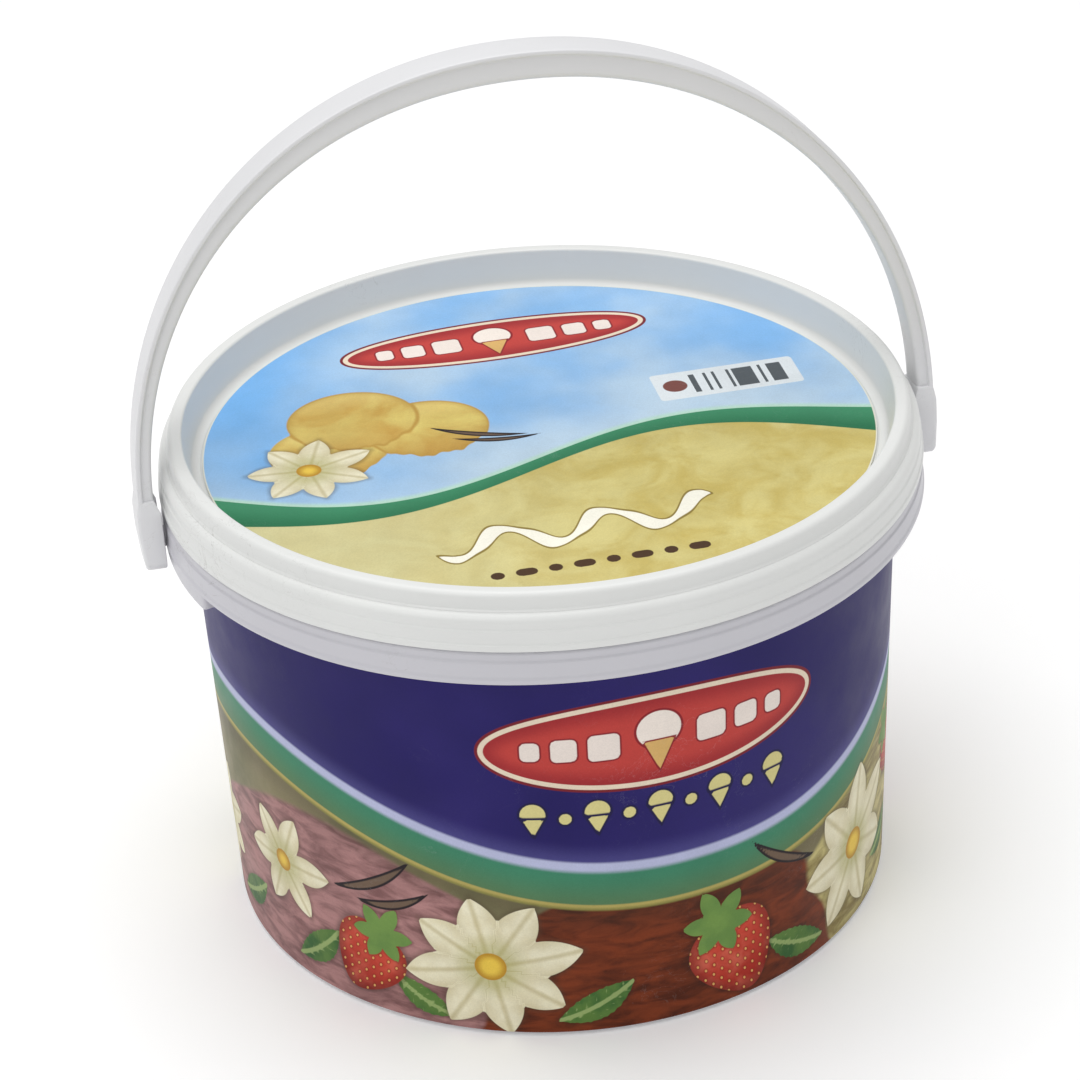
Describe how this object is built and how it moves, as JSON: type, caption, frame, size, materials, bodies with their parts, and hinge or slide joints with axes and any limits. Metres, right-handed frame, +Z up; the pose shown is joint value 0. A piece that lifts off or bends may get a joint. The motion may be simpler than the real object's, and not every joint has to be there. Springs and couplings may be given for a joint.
{
  "type": "ice cream tub",
  "caption": "Round plastic ice cream tub with a press-on recessed lid, a printed wrap-round label, a round lid label and a swinging carrying bail.",
  "frame": {"origin": "centre of the base, on the surface that the tub stands on", "axes": "+Z up the tub's own axis, +X along the bail's hinge axis, -Y towards the front of the print"},
  "size_m": [0.2338, 0.2192, 0.2535],
  "materials": {
    "tub_plastic": "white moulded polypropylene, satin",
    "side_print": "printed in-mould film, satin gloss",
    "lid_plastic": "slightly translucent white moulded polypropylene",
    "lid_print": "printed in-mould film, satin gloss",
    "bail_plastic": "white moulded polypropylene, satin"
  },
  "bodies": {
    "tub": {"tub": "tub_plastic", "side_label": "side_print", "lid": "lid_plastic", "lid_label": "lid_print"},
    "bail": {"handle": "bail_plastic"}
  },
  "joints": [
    {"name": "bail_hinge", "type": "hinge", "parent": "tub", "child": "bail", "pos_m": [0, 0, 0.126], "axis": [1, 0, 0], "range_deg": [-113, 129]}
  ]
}
